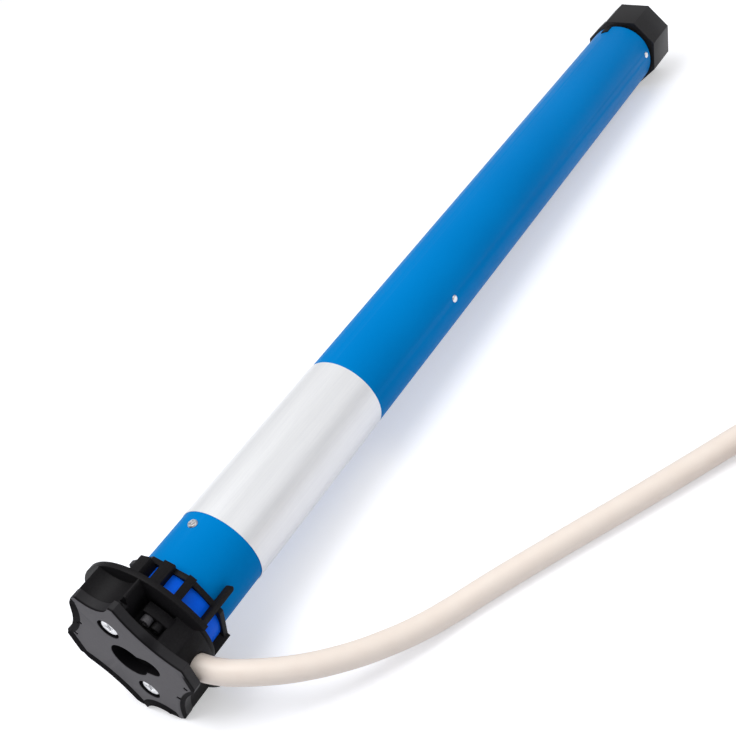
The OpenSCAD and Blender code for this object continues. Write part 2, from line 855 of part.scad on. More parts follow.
// Rolled aluminium can with a crimped neck and two tabs
module run_capacitor() {
    can_r = unit_r - can_gap;
    neck_x = capacitor_len - can_neck;
    rim_x = capacitor_len - can_rim;
    color("#b8bcc0") {
        along_x(capacitor_x) rotate_extrude() polygon([[0, 0], [can_r - can_crimp, 0], [can_r, can_crimp],
            [can_r, neck_x - can_crimp], [can_r - can_crimp, neck_x], [can_r, neck_x + can_crimp],
            [can_r, rim_x], [can_r - can_crimp, rim_x], [can_r - can_crimp, rim_x - can_crimp],
            [0, rim_x - can_crimp]]);
        along_x(capacitor_end - tab_root) for (s = [-1, 1])
            translate([s * tab_at - tab_size[0] / 2, -tab_size[1] / 2, 0]) cube(tab_size);
    }
}

module bearing_shield(x) {
    difference() {
        ring(x, shield_t, unit_r, bearing_r);
        along_x(x - 1) for (i = [1:shield_holes]) rotate(360 * i / shield_holes)
            translate([(unit_r + bearing_r) / 2, 0, 0]) cylinder(h = shield_t + 2, r = shield_hole_r);
    }
}

module front_shield() {
    color("#c9ccd0") bearing_shield(shield_x);
}

module rear_shield() {
    color("#c9ccd0") bearing_shield(rear_shield_x);
}

module front_bearing() {
    color("#b08d57") ring(shield_x, shield_t, bearing_r - seat_fit / 2, rotor_shaft_d / 2 + run_fit);
}

module rear_bearing() {
    color("#b08d57") ring(rear_shield_x, shield_t, bearing_r - seat_fit / 2, rotor_shaft_d / 2 + run_fit);
}

// Slots of the stator, open to the bore
module slots(x, len, r, mouth) {
    along_x(x) for (i = [0:slot_count - 1]) rotate((i + 0.5) * 360 / slot_count) {
        translate([slot_at, 0, 0]) cylinder(h = len, r = r);
        if (mouth > 0) translate([0, -mouth / 2, 0]) cube([slot_at, mouth, len]);
    }
}

// Stack of laminations
module stator_core() {
    color("#7d8084") difference() {
        ring(stator_x, stator_len, unit_r, stator_bore_r);
        slots(stator_x - 1, stator_len + 2, slot_r, slot_mouth);
        rivet_holes(stator_rivet_x);
    }
}

// Copper in the slots, joined by the two winding heads
module winding_head(x) {
    inner = stator_bore_r + winding_inset;
    outer = unit_r - winding_inset;
    fillet = winding_round;
    along_x(x) rotate_extrude() polygon([[inner, fillet], [inner + fillet, 0], [outer - fillet, 0],
        [outer, fillet], [outer, winding_len - fillet], [outer - fillet, winding_len],
        [inner + fillet, winding_len], [inner, winding_len - fillet]]);
}

module stator_windings() {
    color("#b4602a") {
        winding_head(winding_x);
        winding_head(stator_end + winding_gap);
        slots(winding_x + winding_len - eps, stator_len + 2 * winding_gap + 2 * eps, slot_r - seat_fit, 0);
    }
}

// Squirrel cage rotor with end rings
module rotor_core() {
    from = stator_x - rotor_ring_len;
    long = stator_len + 2 * rotor_ring_len;
    color("#8c8f94") difference() {
        union() {
            disc(stator_x + rotor_inset, stator_len - 2 * rotor_inset, rotor_r);
            disc(from, long, rotor_r - rotor_ring_step);
        }
        disc(from - 1, long + 2, rotor_shaft_d / 2);
        along_x(from - 1) for (i = [1:rotor_bars]) rotate(360 * i / rotor_bars)
            translate([rotor_bar_at, 0, 0]) cylinder(h = long + 2, r = rotor_bar_r);
    }
}

// Shaft with the first sun gear cut on its end
module rotor_shaft() {
    color(steel) {
        disc(shield_x - shaft_tail, stage_x1 - sun_lead - shield_x + shaft_tail, rotor_shaft_d / 2);
        along_x(stage_x1 - sun_lead - eps) linear_extrude(planet_w1 + sun_lead + eps)
            outer_gear_2d(gear_module, sun_teeth);
    }
}

// Brake

// Friction pad on the rear shield
module brake_pad() {
    color("#5a4a3c") ring(rear_shield_end, pad_t, brake_r, brake_bore_r);
}

module brake_disc() {
    color("#70757a") ring(disc_x, disc_t, brake_r, rotor_shaft_d / 2);
}

// Plate that presses the disc on the pad, guided by three pins
module brake_armature() {
    color("#8a8f96") along_x(armature_x) linear_extrude(armature_t) difference() {
        union() {
            circle(r = brake_r);
            for (turn = brake_turns) rotate(turn) {
                translate([brake_pin_r, 0]) circle(r = brake_ear_r);
                translate([brake_bore_r + 1, -brake_ear_r])
                    square([brake_pin_r - brake_bore_r - 1, 2 * brake_ear_r]);
            }
        }
        circle(r = brake_bore_r);
        for (turn = brake_turns) rotate(turn) translate([brake_pin_r, 0])
            circle(d = brake_pin_d + 2 * run_fit);
    }
}

module brake_pins() {
    color(steel) along_x(disc_x) for (turn = brake_turns) rotate(turn) translate([brake_pin_r, 0, 0])
        cylinder(h = brake_cover_x - disc_x + brake_pin_root, d = brake_pin_d);
}

// Disc spring behind the armature
module brake_spring() {
    color("#5b6068") along_x(spring_x) rotate_extrude() polygon([[brake_bore_r, 0],
        [brake_bore_r + spring_lip, 0], [brake_r, spring_t - spring_leaf], [brake_r, spring_t],
        [brake_r - spring_lip, spring_t], [brake_bore_r, spring_leaf]]);
}

module brake_cover() {
    color("#c9ccd0") difference() {
        ring(brake_cover_x, brake_cover_t, unit_r, rotor_shaft_d / 2 + body_gap);
        along_x(brake_cover_x - 1) for (turn = brake_turns) rotate(turn) translate([brake_pin_r, 0, 0])
            cylinder(h = 1 + brake_pin_root + seat_fit, d = brake_pin_d + seat_fit);
    }
}

// Gearbox

// Long ring gear, toothed for all three stages
module ring_gear() {
    color("#d9d6cc") along_x(gear_x) difference() {
        cylinder(h = ring_end - gear_x, r = unit_r);
        translate([0, 0, -1]) linear_extrude(ring_end - gear_x + 2)
            inner_gear_2d(gear_module, ring_teeth, ring_addendum);
    }
}

// Planet with a tooth facing outwards, turning on its carrier's pin
module planet(stage, index) {
    along_x(stage_x[stage]) rotate(planets[index]) translate([planet_r, 0, 0]) difference() {
        linear_extrude(planet_w[stage]) outer_gear_2d(gear_module, planet_teeth);
        translate([0, 0, -1]) cylinder(h = planet_w[stage] + 2, d = pin_d + 2 * run_fit);
    }
}

module carrier_plate(stage) {
    x = stage_x[stage] + planet_w[stage] + stage_gap;
    disc(x, carrier_t[stage], carrier_r);
    along_x(stage_x[stage] + stage_gap / 2) for (a = planets) rotate(a) translate([planet_r, 0, 0])
        cylinder(h = planet_w[stage] + stage_gap, d = pin_d);
}

module carrier_with_sun(stage) {
    x = stage_x[stage] + planet_w[stage] + stage_gap + carrier_t[stage];
    carrier_plate(stage);
    along_x(x - eps) linear_extrude(stage_x[stage + 1] + planet_w[stage + 1] - x + eps)
        outer_gear_2d(gear_module, sun_teeth);
}

module carrier_1() {
    color(steel) carrier_with_sun(0);
}

module carrier_2() {
    color(steel) carrier_with_sun(1);
}

module carrier_3() {
    color(steel) difference() {
        carrier_plate(2);
        disc(carrier_end - carrier_t[2] / 2, carrier_t[2], output_d / 2);
    }
}

module planet_1a() { color("#c7b37a") planet(0, 0); }
module planet_1b() { color("#c7b37a") planet(0, 1); }
module planet_1c() { color("#c7b37a") planet(0, 2); }
module planet_2a() { color("#c7b37a") planet(1, 0); }
module planet_2b() { color("#c7b37a") planet(1, 1); }
module planet_2c() { color("#c7b37a") planet(1, 2); }
module planet_3a() { color("#c7b37a") planet(2, 0); }
module planet_3b() { color("#c7b37a") planet(2, 1); }
module planet_3c() { color("#c7b37a") planet(2, 2); }

// Black plug that closes the tube and carries the output bush
module gearbox_cover() {
    color(black_plastic) difference() {
        union() {
            disc(cover_x, cover_len, unit_r);
            lug(0);
        }
        disc(cover_x - 1, cover_len + 2, output_d / 2 + body_gap);
        disc(tube_end - bush_len, bush_len + 1, bush_r + seat_fit / 2);
        rivet_holes(cover_rivet_x);
    }
}

module output_bush() {
    color("#b08d57") ring(tube_end - bush_len, bush_len, bush_r, output_d / 2 + run_fit);
}

// Round shaft with a square end for the wheel
module output_shaft() {
    from = carrier_end - carrier_t[2] / 2;
    color(steel) difference() {
        union() {
            disc(from, wheel_x - 1 - from, output_d / 2);
            along_x(wheel_x - square_root) linear_extrude(wheel_len - wheel_face_t + square_root - body_gap)
                at_clock(wheel_corner_at) intersection() {
                    circle(d = output_d - 2 * square_fit);
                    square(square_side, center = true);
                }
        }
        disc(wheel_end - wheel_screw_len, wheel_screw_len + 1, wheel_screw_d / 2 + seat_fit / 2);
    }
}

// Drive wheel

// Octagonal wheel: open towards the tube, spoked hub, seam groove, and one corner cut back
module drive_wheel() {
    flat_r = wheel_corner_d / 2 * cos(22.5);
    inner_r = flat_r - wheel_shell;
    cavity = wheel_len - wheel_face_t;
    color(black_plastic) along_x(wheel_x) difference() {
        at_clock(wheel_corner_at) cylinder(h = wheel_len, d = wheel_corner_d, $fn = 8);
        difference() {
            translate([0, 0, -1]) cylinder(h = cavity + 1, r = inner_r);
            translate([0, 0, -2]) cylinder(h = wheel_len, r = wheel_hub_r);
            at_clock(wheel_corner_at) for (turn = [0:45:359]) rotate(turn)
                translate([0, -spoke_w / 2, spoke_set]) cube([inner_r + 1, spoke_w, wheel_len]);
        }
        at_clock(wheel_corner_at) translate([0, 0, cavity / 2 - 1])
            cube([square_side + 2 * square_fit, square_side + 2 * square_fit, cavity + 2], center = true);
        cylinder(h = wheel_len + 1, d = wheel_screw_d + 2 * seat_fit);
        translate([0, 0, wheel_len - dish_depth])
            cylinder(h = dish_depth + 1, d = washer_d + 2 * recess_fit);
        at_clock(seam_at) translate([flat_r - seam_depth, -seam_w / 2, -1])
            cube([wheel_corner_d, seam_w, wheel_len + 2]);
        at_clock(wheel_notch_at) translate([0, -wheel_notch_w / 2, wheel_len - wheel_notch_len])
            translate([wheel_corner_d / 2 - wheel_notch_depth, 0, 0])
                cube([wheel_corner_d, wheel_notch_w, wheel_notch_len + 1]);
    }
}

module wheel_washer() {
    color(zinc) ring(wheel_end - dish_depth, washer_t, washer_d / 2, wheel_screw_d / 2 + seat_fit);
}

module wheel_screw() {
    top = wheel_end - dish_depth + washer_t;
    color(zinc) difference() {
        union() {
            disc(wheel_end - wheel_screw_len + wheel_screw_gap,
                top - wheel_end + wheel_screw_len - wheel_screw_gap + eps, wheel_screw_d / 2);
            along_x(top) cylinder(h = wheel_screw_head_h, d1 = wheel_screw_head_d,
                d2 = wheel_screw_head_d - wheel_screw_dome);
        }
        along_x(top + wheel_screw_head_h) for (turn = [0, 90]) rotate(wheel_screw_turn + turn)
            cube([cross_len, cross_w, 2 * cross_depth], center = true);
    }
}

// Cable

function exit_point(r) = [exit_x, -r * cos(exit_angle), r * sin(exit_angle)];
cable_path = concat([exit_point(seal_to), exit_point(seal_to + cable_d)], cable_route,
    [coil_point(-0.02), coil_point(0)]);

// Point of the coil after t turns: in on the lower layer, out again on the upper one
function climb(t) =
    let (u = min(1, max(0, (t - turns_in) / climb_turns + 0.5)))
    u * u * (3 - 2 * u);
function coil_point(t) =
    let (r = t < 0 ? coil_out_r : coil_in_r + coil_pitch * abs(t - turns_in),
        a = coil_start_at - 360 * max(t, 0),
        flat = coil_centre + r * [cos(a), sin(a)],
        back = min(t, 0) * 360 * PI / 180 * coil_out_r * [cos(coil_heading), sin(coil_heading)],
        at = flat + back)
    [at[0], at[1], rest_z(at[0]) + coil_lift + cable_r + coil_pitch * climb(t)];
coil_turns = turns_in + turns_out;
coil_steps = round(coil_turns * coil_rings);
coil_path = [for (i = [0:coil_steps]) coil_point(i * coil_turns / coil_steps)];

// Least gap of the coil to itself, on points more than a third of a turn apart
coil_spans = [for (i = [0:coil_steps]) for (j = [i + 9:1:coil_steps]) norm(coil_path[i] - coil_path[j])];
coil_gap = min(coil_spans) - cable_d;
echo(least_gap_of_the_coil_to_itself_mm = coil_gap);
function path_length(p) = len(p) < 2 ? 0
    : norm(p[1] - p[0]) + path_length([for (i = [1:1:len(p) - 1]) p[i]]);
echo(cable_length_mm = path_length(cable_path) + path_length(coil_path));

// Direction of a path at point i, taken across its neighbours
function heading(p, i) =
    let (d = p[min(i + 1, len(p) - 1)] - p[max(i - 1, 0)])
    d / norm(d);

// One closed tube swept along a path, with its rings kept upright
module swept_tube(p, r, sides) {
    n = len(p);
    points = [for (i = [0:n - 1])
        let (d = heading(p, i), side = cross(d, [0, 0, 1]) / norm(cross(d, [0, 0, 1])), up = cross(side, d))
        for (k = [0:sides - 1]) p[i] + r * (cos(360 * k / sides) * side + sin(360 * k / sides) * up)];
    walls = [for (i = [0:n - 2]) for (k = [0:sides - 1])
        let (a = i * sides + k, b = i * sides + (k + 1) % sides)
        each [[a, b, a + sides], [b, b + sides, a + sides]]];
    first = [for (k = [1:sides - 2]) [0, k + 1, k]];
    last = [for (k = [1:sides - 2]) (n - 1) * sides * [1, 1, 1] + [0, k, k + 1]];
    polyhedron(points, concat(walls, first, last));
}

module supply_cable() {
    color(cream) swept_tube(cable_path, cable_r, cable_sides);
}

module cable_coil() {
    color(cream) swept_tube(coil_path, cable_r, coil_sides);
}

// Strap round the coil where its turns lie straight above each other
module cable_tie() {
    outer_r = coil_in_r + coil_pitch * (turns_in - tie_turn);
    inner_r = outer_r - 2 * coil_pitch;
    inner = [outer_r - inner_r + cable_d + 2 * tie_gap, 0, coil_pitch + cable_d + 2 * tie_gap];
    at = coil_start_at - 360 * tie_turn;
    mid = coil_centre + (outer_r + inner_r) / 2 * [cos(at), sin(at)];
    low = rest_z(mid[0]) + coil_lift - tie_gap;
    color("#26262a") translate([mid[0], mid[1], low + inner[2] / 2]) rotate([0, -atan(rest_slope), 0])
        rotate(at) difference() {
            cube(inner + [2 * tie_t, tie_w, 2 * tie_t], center = true);
            cube(inner + [0, tie_w + 2, 0], center = true);
        }
}

// Four cores at the far end of the cable, fanned out, with a ferrule on each
core_tip = coil_path[len(coil_path) - 1];
core_ahead = heading(coil_path, len(coil_path) - 1);
core_side = cross(core_ahead, [0, 0, 1]);
core_up = cross(core_side, core_ahead);
function core_foot(k) = core_tip + core_ring * (cos(90 * k + 45) * core_side + sin(90 * k + 45) * core_up);
function core_bend(k) = core_foot(k) + core_ahead * core_straight;
function core_end(k) = core_foot(k) + core_ahead * core_len + core_fan[k] * core_side;
function core_heading(k) = (core_end(k) - core_bend(k)) / norm(core_end(k) - core_bend(k));

module cable_cores() {
    color("#8a5a33") for (k = [0:3])
        swept_tube([core_foot(k), core_bend(k), core_end(k)], core_d / 2, core_sides);
}

module core_ferrules() {
    color(zinc) for (k = [0:3])
        swept_tube([core_end(k), core_end(k) + core_heading(k) * ferrule_len], ferrule_d / 2, core_sides);
}

head_plate();
head_housing();
plate_screws();
cable_seal();
bearing_sleeve();
crown_ring();
limit_adjuster_up();
limit_adjuster_down();
motor_tube();
label_film();
tube_screws();
stator_rivets();
cover_rivets();
limit_frame();
limit_switches();
limit_spindle();
limit_nut_up();
limit_nut_down();
run_capacitor();
front_shield();
front_bearing();
stator_core();
stator_windings();
rotor_core();
rotor_shaft();
rear_shield();
rear_bearing();
brake_pad();
brake_disc();
brake_armature();
brake_pins();
brake_spring();
brake_cover();
ring_gear();
carrier_1();
planet_1a();
planet_1b();
planet_1c();
carrier_2();
planet_2a();
planet_2b();
planet_2c();
carrier_3();
planet_3a();
planet_3b();
planet_3c();
gearbox_cover();
output_bush();
output_shaft();
drive_wheel();
wheel_washer();
wheel_screw();
supply_cable();
cable_coil();
cable_tie();
cable_cores();
core_ferrules();
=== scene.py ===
import math

import bmesh
import bpy
from mathutils import Matrix, Vector


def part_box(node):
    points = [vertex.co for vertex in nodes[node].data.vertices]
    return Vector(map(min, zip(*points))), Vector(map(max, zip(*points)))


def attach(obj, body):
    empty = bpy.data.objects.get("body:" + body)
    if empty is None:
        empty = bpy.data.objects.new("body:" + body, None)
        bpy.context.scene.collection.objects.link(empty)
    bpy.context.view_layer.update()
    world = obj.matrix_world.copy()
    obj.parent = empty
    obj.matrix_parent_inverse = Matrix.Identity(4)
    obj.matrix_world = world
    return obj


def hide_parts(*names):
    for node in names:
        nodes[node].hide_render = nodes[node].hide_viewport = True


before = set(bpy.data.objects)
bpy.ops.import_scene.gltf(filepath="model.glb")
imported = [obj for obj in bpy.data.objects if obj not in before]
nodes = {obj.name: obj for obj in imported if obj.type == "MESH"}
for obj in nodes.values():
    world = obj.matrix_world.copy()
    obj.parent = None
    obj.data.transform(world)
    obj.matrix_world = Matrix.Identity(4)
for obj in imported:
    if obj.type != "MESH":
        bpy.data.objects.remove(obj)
scene = bpy.context.scene
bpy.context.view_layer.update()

# Camera
# A 55 mm lens on a 36 mm sensor, ahead of the head, above it and on the cable's side, so that
# the tube runs from the lower left corner of the picture to the upper right one.
camera_right = Vector((0.5136, -0.79836, -0.31448))
camera_up = Vector((0.63288, 0.10497, 0.76715))
camera_back = camera_right.cross(camera_up)
camera_place = Vector((-0.1152, -0.27605, 0.25967))
camera_data = bpy.data.cameras.new("camera")
camera_data.sensor_width = 36
camera_data.lens = 55.2
camera_data.clip_start = 0.01
camera = bpy.data.objects.new("camera", camera_data)
camera_turn = Matrix((camera_right, camera_up, camera_back)).transposed()
camera.matrix_world = Matrix.Translation(camera_place) @ camera_turn.to_4x4()
scene.collection.objects.link(camera)
scene.camera = camera
scene.view_settings.view_transform = "Standard"

# Table top
# White laminate that the motor lies on. It touches the points of the head and the lowest
# corner of the wheel, which stands higher, so the top is tilted a little to the tube.
mm = 0.001
head_len = 16 * mm
head_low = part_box("head_housing")[0].z
wheel_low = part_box("drive_wheel")[0].z
wheel_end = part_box("drive_wheel")[1].x
rest_slope = (wheel_low - head_low) / (wheel_end - head_len)
table_gap = 0.2 * mm
table_glow = 0.42
# Half the table's side in metres, so wide that its edge lies near the horizon.
table_reach = 30.0


def rest_z(x):
    """Height of the table top at this station along the tube."""
    return head_low + rest_slope * (x - head_len)


def linear(code):
    """An sRGB colour, written as six hex digits, as the linear values that shaders take."""
    parts = [int(code[i:i + 2], 16) / 255 for i in (0, 2, 4)]
    return [c / 12.92 if c <= 0.04045 else ((c + 0.055) / 1.055) ** 2.4 for c in parts] + [1.0]


def add_node(owner, kind, settings=None, links=None, stops=()):
    """One shader node of a material or world. Settings are properties and socket values,
    links are the sockets that feed it, and stops are the places and colours of a ramp."""
    node = owner.node_tree.nodes.new(kind)
    for name, value in (settings or {}).items():
        if isinstance(name, int) or name in node.inputs:
            node.inputs[name].default_value = value
        else:
            setattr(node, name, value)
    for name, source in (links or {}).items():
        owner.node_tree.links.new(source, node.inputs[name])
    for number, (position, code) in enumerate(stops):
        node.color_ramp.elements[number].position = position
        node.color_ramp.elements[number].color = linear(code)
    return node


def new_material(name, surface):
    """A material whose surface shader has these plain socket values, and its object coordinates."""
    material = bpy.data.materials.new(name)
    material.use_nodes = True
    shader = material.node_tree.nodes["Principled BSDF"]
    for socket, value in surface.items():
        shader.inputs[socket].default_value = value
    coordinates = add_node(material, "ShaderNodeTexCoord").outputs["Object"]
    return material, shader, coordinates


def link(owner, source, shader, socket):
    """Feed a socket of a shader that is already there."""
    owner.node_tree.links.new(source, shader.inputs[socket])


# White laminate: satin and even. A little light of its own, which the eye sees straight, in mirrors
# or through glass, lifts the open floor to pure white. It lights nothing and leaves the shadows.
table_material, table_shader, _ = new_material(
    "white_laminate", {"Base Color": linear("e0e1e6"), "Roughness": 0.42, "IOR": 1.45,
                       "Emission Color": linear("ffffff")})
table_rays = add_node(table_material, "ShaderNodeLightPath").outputs
table_seen = add_node(table_material, "ShaderNodeMath", {"operation": "MAXIMUM"},
                      {0: table_rays["Is Camera Ray"], 1: table_rays["Is Glossy Ray"]})
table_shown = add_node(table_material, "ShaderNodeMath", {"operation": "MAXIMUM"},
                       {0: table_seen.outputs["Value"], 1: table_rays["Is Transmission Ray"]})
table_light = add_node(table_material, "ShaderNodeMath", {"operation": "MULTIPLY", 1: table_glow},
                       {0: table_shown.outputs["Value"]})
link(table_material, table_light.outputs["Value"], table_shader, "Emission Strength")

table_mesh = bmesh.new()
bmesh.ops.create_grid(table_mesh, x_segments=1, y_segments=1, size=table_reach)
table_tilt = Matrix.Rotation(-math.atan(rest_slope), 4, "Y")
table_place = Matrix.Translation((head_len, 0, head_low - table_gap))
bmesh.ops.transform(table_mesh, matrix=table_place @ table_tilt, verts=table_mesh.verts)
table_data = bpy.data.meshes.new("table_top")
table_mesh.to_mesh(table_data)
table_mesh.free()
table_top = bpy.data.objects.new("table_top", table_data)
table_data.materials.append(table_material)
scene.collection.objects.link(table_top)

# Studio light
# A broad soft box high above the head, a weak one out on the cable's side, and pale walls that are
# a little darker towards the horizon, which is what the silver film mirrors as a grey band.
lamp_aim = Vector((0.2, 0.0, 0.0))
sky_strength = 0.55
world = bpy.data.worlds.new("studio")
scene.world = world
world.use_nodes = True
sky = world.node_tree.nodes["Background"]
sky.inputs["Strength"].default_value = sky_strength
sky_direction = add_node(world, "ShaderNodeTexCoord").outputs["Generated"]
sky_split = add_node(world, "ShaderNodeSeparateXYZ", links={"Vector": sky_direction})
sky_ramp = add_node(world, "ShaderNodeValToRGB", links={"Fac": sky_split.outputs["Z"]},
                    stops=((0.0, "b4b6bb"), (0.55, "ffffff")))
link(world, sky_ramp.outputs["Color"], sky, "Color")
for lamp_name, lamp_place, lamp_size, lamp_power in (
        ("soft_box", Vector((-0.2, 0.3, 1.4)), 1.0, 14.0),
        ("fill_box", Vector((0.5, -1.2, 1.0)), 1.2, 3.0)):
    lamp_data = bpy.data.lights.new(lamp_name, "AREA")
    lamp_data.shape = "SQUARE"
    lamp_data.size = lamp_size
    lamp_data.energy = lamp_power
    lamp = bpy.data.objects.new(lamp_name, lamp_data)
    lamp_turn = (lamp_aim - lamp_place).to_track_quat("-Z", "Y")
    lamp.matrix_world = Matrix.Translation(lamp_place) @ lamp_turn.to_matrix().to_4x4()
    scene.collection.objects.link(lamp)

# Supply cable
# Cream PVC sheath over four cores, 9 mm thick and about 2 m long. It leaves the head square to
# the axis, comes down on the table, and the length past the picture's edge is coiled and tied.
cable_radius = 4.5 * mm
exit_station = 9.0 * mm
exit_angle = math.radians(-14)
exit_step = 4.5 * mm
seal_end = 13 * mm
cable_route = [(11, -30.2, -7.4), (14.2, -37.2, -8.8), (18, -43.5, -10.4), (22.3, -49.4, -12.1),
               (27.2, -54.9, -13.9), (32.6, -60, -15.7), (38.4, -64.8, -17.5), (44.5, -69.2, -19.1),
               (54, -75.4, -21.2), (66, -82.2, -22.8), (80, -90.8, -22.7), (103, -106.2, -22.2),
               (130, -124.9, -21.5), (164, -147.6, -20.5), (190, -164.7, -19.5)]
coil_pitch = 9.6 * mm
coil_inner_radius = 38.6 * mm
turns_in = 2.75
turns_out = 2.6
climb_turns = 0.5
coil_lift = 1.6 * mm
coil_rings = 24
coil_heading = math.radians(-33.7)
coil_start = Vector((200 * mm, -171.3 * mm))
coil_outer_radius = coil_inner_radius + coil_pitch * turns_in
coil_inward = Vector((math.sin(coil_heading), -math.cos(coil_heading)))
coil_centre = coil_start + coil_outer_radius * coil_inward


def share_of(value, low, high):
    """How far a value is on its way from low to high, from 0 to 1."""
    return min(1.0, max(0.0, (value - low) / (high - low)))


def coil_point(turns):
    """Centre of the cable after so many turns: in on the lower layer, out again on the upper one."""
    radius = coil_inner_radius + coil_pitch * abs(turns - turns_in)
    angle = coil_heading + math.pi / 2 - 2 * math.pi * turns
    x = coil_centre.x + radius * math.cos(angle)
    y = coil_centre.y + radius * math.sin(angle)
    share = share_of(turns, turns_in - climb_turns / 2, turns_in + climb_turns / 2)
    climb = share * share * (3 - 2 * share)
    return Vector((x, y, rest_z(x) + coil_lift + cable_radius + coil_pitch * climb))


def exit_point(radius):
    """Centre of the cable at this distance from the axis, in the bore that it leaves by."""
    return Vector((exit_station, -radius * math.cos(exit_angle), radius * math.sin(exit_angle)))


coil_turns = turns_in + turns_out
coil_steps = round(coil_turns * coil_rings)
coil_path = [coil_point(i * coil_turns / coil_steps) for i in range(coil_steps + 1)]
free_path = [exit_point(seal_end + exit_step * i) for i in range(3)]
free_path += [Vector(p) * mm for p in cable_route]
cable_path = free_path + coil_path


def round_strand(name, path, radius, roundness):
    """A smooth round strand through the points of a path."""
    curve = bpy.data.curves.new(name, "CURVE")
    curve.dimensions = "3D"
    curve.bevel_depth = radius
    curve.bevel_resolution = roundness
    curve.resolution_u = 6
    curve.use_fill_caps = True
    spline = curve.splines.new("BEZIER")
    spline.bezier_points.add(len(path) - 1)
    for point, place in zip(spline.bezier_points, path):
        point.co = place
        point.handle_left_type = point.handle_right_type = "AUTO"
    strand = bpy.data.objects.new(name, curve)
    scene.collection.objects.link(strand)
    return strand


# A Mix node has its colour sockets after those for numbers and vectors.
mix_first, mix_second, mix_result = 6, 7, 2

# Extruded PVC is satin, with a faint waviness of about 6 mm from the cores under it and
# a fine matt bloom, so the highlight along it is soft and slightly uneven.
sheath_wave_len = 6 * mm
sheath_grain_len = 0.8 * mm
sheath_material, sheath_shader, sheath_place = new_material("cream_pvc", {"IOR": 1.53})
sheath_wave = add_node(sheath_material, "ShaderNodeTexNoise",
                       {"Scale": 1 / sheath_wave_len, "Detail": 2.0}, {"Vector": sheath_place})
sheath_grain = add_node(sheath_material, "ShaderNodeTexNoise",
                        {"Scale": 1 / sheath_grain_len, "Detail": 3.0}, {"Vector": sheath_place})
sheath_rough = add_node(sheath_material, "ShaderNodeMapRange", {"To Min": 0.4, "To Max": 0.54},
                        {"Value": sheath_wave.outputs["Fac"]})
link(sheath_material, sheath_rough.outputs["Result"], sheath_shader, "Roughness")
sheath_tint = add_node(sheath_material, "ShaderNodeMix",
                       {"data_type": "RGBA", mix_first: linear("efe1d6"), mix_second: linear("f4e9df")},
                       {"Factor": sheath_wave.outputs["Fac"]})
link(sheath_material, sheath_tint.outputs[mix_result], sheath_shader, "Base Color")
sheath_bump = add_node(sheath_material, "ShaderNodeBump", {"Strength": 0.12, "Distance": 0.2 * mm},
                       {"Height": sheath_grain.outputs["Fac"]})
link(sheath_material, sheath_bump.outputs["Normal"], sheath_shader, "Normal")

cable = round_strand("supply_cable_sheath", cable_path, cable_radius, roundness=6)
cable.data.materials.append(sheath_material)
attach(cable, "housing")
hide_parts("supply_cable", "cable_coil")

# Cores at the bare far end
# Four stranded copper cores in brown, black, blue and green PVC, stripped at the works,
# fanned out a little and each crimped in a tinned ferrule.
core_radius = 1.2 * mm
core_len = 34 * mm
core_ring = 1.85 * mm
core_straight = 4 * mm
core_grain_len = 1 * mm
core_ahead = (coil_path[-1] - coil_path[-2]).normalized()
core_side = core_ahead.cross(Vector((0, 0, 1)))
core_up = core_side.cross(core_ahead)
for core, (core_name, core_colour, core_fan) in enumerate(
        (("brown", "6b3f22", 1.5 * mm), ("black", "242426", -4.5 * mm),
         ("blue", "2a63b8", -1.5 * mm), ("earth", "3f8a3a", 4.5 * mm))):
    core_angle = math.radians(90 * core + 45)
    core_out = math.cos(core_angle) * core_side + math.sin(core_angle) * core_up
    core_foot = coil_path[-1] + core_ring * core_out
    core_end = core_foot + core_ahead * core_len + core_side * core_fan
    core_path = [core_foot, core_foot + core_ahead * core_straight, (core_foot + core_end) / 2, core_end]
    # Thin PVC: an even colour with a soft gloss, broken a little by a grain of 1 mm.
    core_material, core_shader, core_place = new_material(
        "core_pvc_" + core_name, {"Base Color": linear(core_colour), "Roughness": 0.4, "IOR": 1.53})
    core_grain = add_node(core_material, "ShaderNodeTexNoise",
                          {"Scale": 1 / core_grain_len, "Detail": 2.0}, {"Vector": core_place})
    core_bump = add_node(core_material, "ShaderNodeBump", {"Strength": 0.1, "Distance": 0.1 * mm},
                         {"Height": core_grain.outputs["Fac"]})
    link(core_material, core_bump.outputs["Normal"], core_shader, "Normal")
    core_piece = round_strand("core_" + core_name, core_path, core_radius, roundness=4)
    core_piece.data.materials.append(core_material)
    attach(core_piece, "housing")
    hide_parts("cable_cores")

# Tie and ferrules of the cable
# Black nylon strap pulled tight round the coil, and tinned copper sleeves crimped on the cores.
# Both are plain small goods, the strap moulded and the ferrules pressed.


def grained(name, colours, roughness, grain, bump, metallic=0.0, specular=0.3):
    """A material whose colour, gloss and height vary a little over grains of this size in metres."""
    material, shader, place = new_material(name, {"Metallic": metallic, "Specular IOR Level": specular})
    noise = add_node(material, "ShaderNodeTexNoise",
                     {"Scale": 1 / grain, "Detail": 4.0, "Roughness": 0.6}, {"Vector": place})
    tint = add_node(material, "ShaderNodeValToRGB", links={"Fac": noise.outputs["Fac"]},
                    stops=((0.3, colours[0]), (0.7, colours[1])))
    link(material, tint.outputs["Color"], shader, "Base Color")
    gloss = add_node(material, "ShaderNodeMapRange", {"To Min": roughness[0], "To Max": roughness[1]},
                     {"Value": noise.outputs["Fac"]})
    link(material, gloss.outputs["Result"], shader, "Roughness")
    relief = add_node(material, "ShaderNodeBump", {"Strength": bump, "Distance": grain / 4},
                      {"Height": noise.outputs["Fac"]})
    link(material, relief.outputs["Normal"], shader, "Normal")
    return material


def finish_node(name, material):
    """Give a CAD piece that is kept as it is its material."""
    nodes[name].data.materials.clear()
    nodes[name].data.materials.append(material)


# Moulded nylon: near black, a soft sheen that breaks up over a grain of about half a millimetre.
tie_material = grained("black_nylon_strap", ("1d1d20", "28282c"), roughness=(0.42, 0.58),
                       grain=0.6 * mm, bump=0.15)
